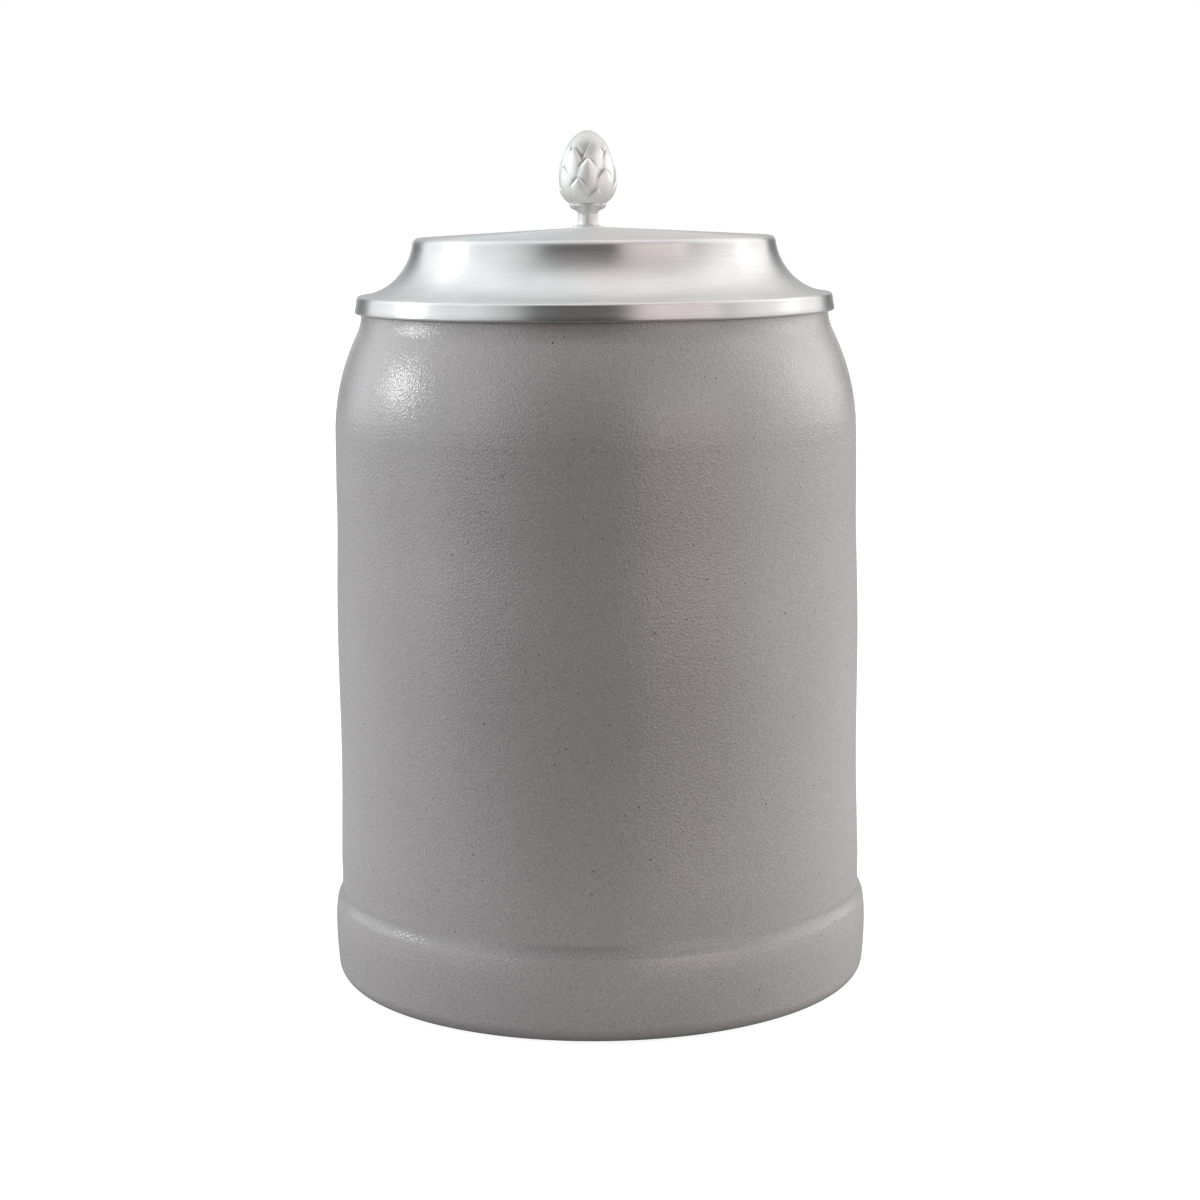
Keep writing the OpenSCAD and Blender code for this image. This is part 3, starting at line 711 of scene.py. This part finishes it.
def stoneware():
    """Grey stoneware under a satin salt glaze: a pebbled skin, mottled grey and dark iron specks."""
    material, tree, shader, place = new_material("stoneware_glaze")
    mottle = noise(tree, place, MOTTLE, detail=3)
    grain = noise(tree, place, GRAIN, detail=2)
    tone = mixed(tree, ranged(tree, mottle, *MOTTLE_RANGE, 0, 1), STONE_LOW, STONE_HIGH)
    tone = mixed(tree, 1.0, tone, ranged(tree, grain, *GRAIN_RANGE, *GRAIN_TONES), "MULTIPLY")
    for scale, core, edge, share in SPECKS:
        speck = add_node(tree, "ShaderNodeTexVoronoi", {"Vector": place, "Scale": scale}).outputs["Distance"]
        tone = mixed(tree, ranged(tree, speck, core, edge, share, 0), tone, SPECK_TONE)
    # Painted shade: the glaze is darkened in the groove over the foot band
    groove_shade = ranged(tree, attribute(tree, "groove"), 0, 1, 1, GROOVE_SHADE_TONE)
    tone = mixed(tree, 1.0, tone, groove_shade, "MULTIPLY")
    pebbles = noise(tree, place, PEBBLES, detail=1)
    skin = noise(tree, place, PEBBLE_SKIN, detail=1)
    height = maths(tree, "ADD", pebbles, times(tree, skin, SKIN_SHARE))
    tree.links.new(tone, shader.inputs["Base Color"])
    tree.links.new(bump(tree, height, PEBBLE_DEPTH), shader.inputs["Normal"])
    tree.links.new(ranged(tree, mottle, *MIDDLE, *GLAZE_ROUGH), shader.inputs["Roughness"])
    shader.inputs["IOR"].default_value = GLAZE_IOR
    return material


def brushed_pewter():
    """Pewter brushed in fine rings round the lid's axis."""
    material, tree, shader, place = new_material("brushed_pewter")
    parts = add_node(tree, "ShaderNodeSeparateXYZ", {0: place}).outputs
    x, y, z = parts["X"], parts["Y"], parts["Z"]
    radius = maths(tree, "SQRT", maths(tree, "ADD", times(tree, x, x), times(tree, y, y)))
    turn = times(tree, maths(tree, "ARCTAN2", y, x), BRUSH_LENGTH)
    rings = add_node(tree, "ShaderNodeCombineXYZ", {0: radius, 1: z, 2: turn}).outputs[0]
    lines = noise(tree, rings, BRUSH_LINES, detail=3)
    cloud = noise(tree, place, BRUSH_CLOUD, detail=2)
    tone = mixed(tree, ranged(tree, lines, *MIDDLE, 0, 1), BRUSHED_LOW, BRUSHED_HIGH)
    patches = ranged(tree, cloud, *MIDDLE, *CLOUD_ROUGH)
    rough = maths(tree, "ADD", ranged(tree, lines, *MIDDLE, *BRUSH_ROUGH), patches)
    tree.links.new(tone, shader.inputs["Base Color"])
    tree.links.new(rough, shader.inputs["Roughness"])
    tree.links.new(bump(tree, lines, BRUSH_DEPTH), shader.inputs["Normal"])
    tangent = add_node(tree, "ShaderNodeTangent", direction_type="RADIAL", axis="Z").outputs[0]
    tree.links.new(tangent, shader.inputs["Tangent"])
    shader.inputs["Metallic"].default_value = 1.0
    shader.inputs["Anisotropic"].default_value = BRUSH_PULL
    shader.inputs["Anisotropic Rotation"].default_value = BRUSH_TURN
    return material


def cast_pewter(name, bright, rough, tarnish, shade_attribute=None):
    """Cast pewter, tarnished in patches; a polished mesh can say how far each of its points is darkened by
    painted shade and patina.
    """
    material, tree, shader, place = new_material(name)
    cloud = noise(tree, place, CAST_CLOUD, detail=4)
    skin = noise(tree, place, CAST_SKIN, detail=3)
    aged = bright * tarnish
    clean_tone = (bright, bright, bright * CLEAN_BLUE, 1)
    aged_tone = (aged, aged, aged * AGED_BLUE, 1)
    tone = mixed(tree, ranged(tree, cloud, *TARNISH_RANGE, 0, TARNISH_SHARE), clean_tone, aged_tone)
    # Painted shade and patina: the tone is darkened where the mesh's attribute says so
    if shade_attribute:
        shade_and_patina = ranged(tree, attribute(tree, shade_attribute), *SHADE_RANGE, 0, SHADE_SHARE)
        tone = mixed(tree, shade_and_patina, tone, SHADE_TONE)
        shader.inputs["Coat Weight"].default_value = 1.0
        shader.inputs["Coat Roughness"].default_value = COAT_ROUGH
    tree.links.new(tone, shader.inputs["Base Color"])
    roughness = ranged(tree, skin, *MIDDLE, rough * SMOOTHER, rough * ROUGHER)
    tree.links.new(roughness, shader.inputs["Roughness"])
    tree.links.new(bump(tree, skin, CAST_DEPTH), shader.inputs["Normal"])
    shader.inputs["Metallic"].default_value = 1.0
    return material


def pin_steel():
    """Drawn steel wire with fine lines along it."""
    material, tree, shader, place = new_material("pin_steel")
    inputs = {0: place, 1: STEEL_LINES}
    drawn = add_node(tree, "ShaderNodeVectorMath", inputs, operation="MULTIPLY").outputs[0]
    lines = noise(tree, drawn, 1.0, detail=2)
    tone = mixed(tree, ranged(tree, lines, *MIDDLE, 0, 1), STEEL_LOW, STEEL_HIGH)
    tree.links.new(tone, shader.inputs["Base Color"])
    tree.links.new(ranged(tree, lines, *MIDDLE, *STEEL_ROUGH), shader.inputs["Roughness"])
    shader.inputs["Metallic"].default_value = 1.0
    return material


# Stage

def add_camera():
    """The camera of the photograph: it looks down, is rolled, and is turned round the mug's axis."""
    down, roll = math.radians(CAMERA_DOWN), math.radians(CAMERA_ROLL)
    right, above = Vector((1, 0, 0)), Vector((0, math.sin(down), math.cos(down)))
    forward = Vector((0, math.cos(down), -math.sin(down)))
    x_axis = right * math.cos(roll) - above * math.sin(roll)
    y_axis = right * math.sin(roll) + above * math.cos(roll)
    turned = Matrix((x_axis, y_axis, -forward)).transposed().to_4x4()
    place = Matrix.Translation(Vector((CAMERA_SIDE, -CAMERA_BACK, CAMERA_HEIGHT)) * MM)
    data = bpy.data.cameras.new("camera")
    data.sensor_width = SENSOR_W
    data.lens = FOCAL_PX / PHOTO_SIDE * data.sensor_width
    data.clip_start = 0.01
    camera = bpy.data.objects.new("camera", data)
    camera.matrix_world = Matrix.Rotation(math.radians(CAMERA_ORBIT), 4, "Z") @ place @ turned
    bpy.context.scene.collection.objects.link(camera)
    bpy.context.scene.camera = camera


def add_floor():
    """A pale table top that ends in front of the mug, just outside the picture."""
    mesh = bpy.data.meshes.new("floor")
    corners = [(-FLOOR_SIDE, FLOOR_FRONT, 0), (FLOOR_SIDE, FLOOR_FRONT, 0),
               (FLOOR_SIDE, FLOOR_SIDE, 0), (-FLOOR_SIDE, FLOOR_SIDE, 0)]
    mesh.from_pydata(corners, [], [(0, 1, 2, 3)])
    material, tree, shader, _ = new_material("pale_floor")
    shader.inputs["Base Color"].default_value = (FLOOR_TONE, FLOOR_TONE, FLOOR_TONE, 1)
    shader.inputs["Roughness"].default_value = FLOOR_ROUGH
    shader.inputs["Emission Color"].default_value = WHITE
    seen = add_node(tree, "ShaderNodeLightPath").outputs["Is Camera Ray"]
    tree.links.new(towards(tree, FLOOR_GLOW, seen, FLOOR_LIT), shader.inputs["Emission Strength"])
    mesh.materials.append(material)
    floor = bpy.data.objects.new("floor", mesh)
    bpy.context.scene.collection.objects.link(floor)


def bell(tree, value, centre, half, soft):
    """1 within a half width of a centre and 0 outside it, with a soft edge."""
    away = maths(tree, "ABSOLUTE", maths(tree, "SUBTRACT", value, centre))
    return ranged(tree, away, half - soft / 2, half + soft / 2, 1.0, 0.0)


def dimmed(tree, level, share, depth):
    """A level taken down by a depth wherever a share says so."""
    return times(tree, level, maths(tree, "SUBTRACT", 1.0, times(tree, share, depth)))


def towards(tree, level, share, goal):
    """A level carried to a goal by a share."""
    return ranged(tree, share, 0.0, 1.0, level, goal)


def add_world():
    """White studio surroundings: bright sides, a dim front where the camera stands, dark gaps at the back."""
    world = bpy.data.worlds.new("studio")
    world.use_nodes = True
    tree = world.node_tree
    way = add_node(tree, "ShaderNodeTexCoord").outputs["Generated"]
    parts = add_node(tree, "ShaderNodeSeparateXYZ", {0: way}).outputs
    degree = 180 / math.pi
    turn = times(tree, maths(tree, "ARCTAN2", parts["X"], times(tree, parts["Y"], -1.0)), degree)
    rise = times(tree, maths(tree, "ARCSINE", parts["Z"]), degree)
    side = maths(tree, "ABSOLUTE", turn)
    level = ranged(tree, turn, *NEAR_TURNS, NEAR_LEFT_LEVEL, NEAR_RIGHT_LEVEL)
    level = towards(tree, level, ranged(tree, side, *SIDE_TURNS, 0.0, 1.0), SIDE_LEVEL)
    front = times(tree, bell(tree, turn, *FRONT_ZONE), ranged(tree, rise, *TOP_RISES, 1.0, 0.0))
    level = dimmed(tree, level, front, FRONT_DEPTH)
    below = times(tree, bell(tree, turn, *BELOW_ZONE), ranged(tree, rise, *BELOW_RISES, 1.0, 0.0))
    level = dimmed(tree, level, below, BELOW_DEPTH)
    gaps = times(tree, bell(tree, side, *GAP_ZONE), ranged(tree, rise, *GAP_RISES, 1.0, GAP_HIGH))
    level = dimmed(tree, level, gaps, GAP_DEPTH)
    level = towards(tree, level, bell(tree, side, *BACK_ZONE), BACK_LEVEL)
    for across, up, added in (LEFT_CARD, RIGHT_CARD):
        share = times(tree, bell(tree, turn, *across), bell(tree, rise, *up))
        level = maths(tree, "ADD", level, times(tree, share, added))
    level = towards(tree, level, ranged(tree, rise, *TOP_RISES, 0.0, 1.0), TOP_LEVEL)
    seen = add_node(tree, "ShaderNodeLightPath").outputs["Is Camera Ray"]
    tint = mixed(tree, ranged(tree, turn, *COOL_TURNS, 0.0, 1.0), COOL, WHITE)
    warm = times(tree, bell(tree, turn, *WARM_ZONE), ranged(tree, rise, *WARM_RISES, 1.0, WARM_HIGH))
    tint = mixed(tree, warm, tint, WARM)
    background = tree.nodes["Background"]
    tree.links.new(towards(tree, level, seen, 1.0), background.inputs["Strength"])
    tree.links.new(mixed(tree, seen, tint, WHITE), background.inputs["Color"])
    bpy.context.scene.world = world


def softbox(name, turn, rise, distance, width, height, power, colour=(1, 1, 1), mirrored=True):
    """A rectangular light; turn is degrees round from the front towards +X, and rise is above the horizon."""
    data = bpy.data.lights.new(name, "AREA")
    data.shape = "RECTANGLE"
    data.size, data.size_y = width, height
    data.energy = power
    data.color = colour
    lamp = bpy.data.objects.new(name, data)
    a, e = math.radians(turn), math.radians(rise)
    way = Vector((math.sin(a) * math.cos(e), -math.cos(a) * math.cos(e), math.sin(e)))
    lamp.location = Vector((0, 0, LAMP_AIM)) + way * distance
    lamp.rotation_mode = "QUATERNION"
    lamp.rotation_quaternion = way.to_track_quat("Z", "Y")
    lamp.visible_glossy = mirrored
    lamp.visible_camera = False
    bpy.context.scene.collection.objects.link(lamp)
    return lamp


def feathered(lamp):
    """Fades a light from its middle to nothing at its edges."""
    lamp.data.use_nodes = True
    tree = lamp.data.node_tree
    across = add_node(tree, "ShaderNodeNewGeometry").outputs["Parametric"]
    parts = add_node(tree, "ShaderNodeSeparateXYZ", {0: across}).outputs
    share = times(tree, bell(tree, parts["X"], *FEATHER), bell(tree, parts["Y"], *FEATHER))
    tree.links.new(share, tree.nodes["Emission"].inputs["Strength"])


def light_stage():
    """The surroundings, two soft windows that the glaze mirrors, and two fills that it doesn't."""
    add_world()
    feathered(softbox("left_window", turn=-96, rise=14.2, distance=0.45, width=0.14, height=0.11, power=0.69))
    feathered(softbox("right_window", turn=103, rise=14.5, distance=0.45, width=0.19, height=0.12, power=0.1))
    softbox("left_fill", turn=-94, rise=14, distance=0.5, width=0.3, height=0.12, power=0.75,
            colour=FILL_COOL, mirrored=False)
    softbox("right_fill", turn=96, rise=12, distance=0.5, width=0.3, height=0.12, power=1.35, mirrored=False)
    bpy.context.scene.view_settings.view_transform = "Standard"


# The stein

add_camera()
glaze = stoneware()
lid_metal = brushed_pewter()
mount_metal = cast_pewter("cast_pewter", bright=0.6, rough=0.36, tarnish=0.7)
thumb_metal = cast_pewter("bright_pewter", bright=0.96, rough=0.6, tarnish=0.96, shade_attribute="shade_and_patina")

mug_body, groove = body_shape()
mug = make_piece("mug", mug_body, glaze, "stein", "stein_body")
add_attribute(mug, "groove", groove)
make_piece("mug_handle", handle_shape(), glaze, "stein", "handle")
make_piece("strap", strap_shape(), mount_metal, "stein", "handle_strap")
make_piece("shank", softened("hinge_shank"), mount_metal, "stein", "hinge_shank")
make_piece("end_caps", caps_shape(), mount_metal, "stein", "hinge_end_caps")
spun_lid = lathe(spaced(lid_outline(), OUTSIDE_STEP), LID_SIDES, closed=True)
make_piece("lid", spun_lid, lid_metal, "lid", "lid_shell")
make_piece("tang", softened("lid_tang"), mount_metal, "lid", "lid_tang")
# The thumb-lift carries its painted shade and patina as a number on each point
thumb, shade_and_patina = thumb_shape()
lift = make_piece("thumb_cone", thumb, thumb_metal, "lid", "thumb_lift")
add_attribute(lift, "shade_and_patina", shade_and_patina)
pin = frame["nodes"]["hinge_pin"]
pin.data.materials.clear()
pin.data.materials.append(pin_steel())

add_floor()
light_stage()
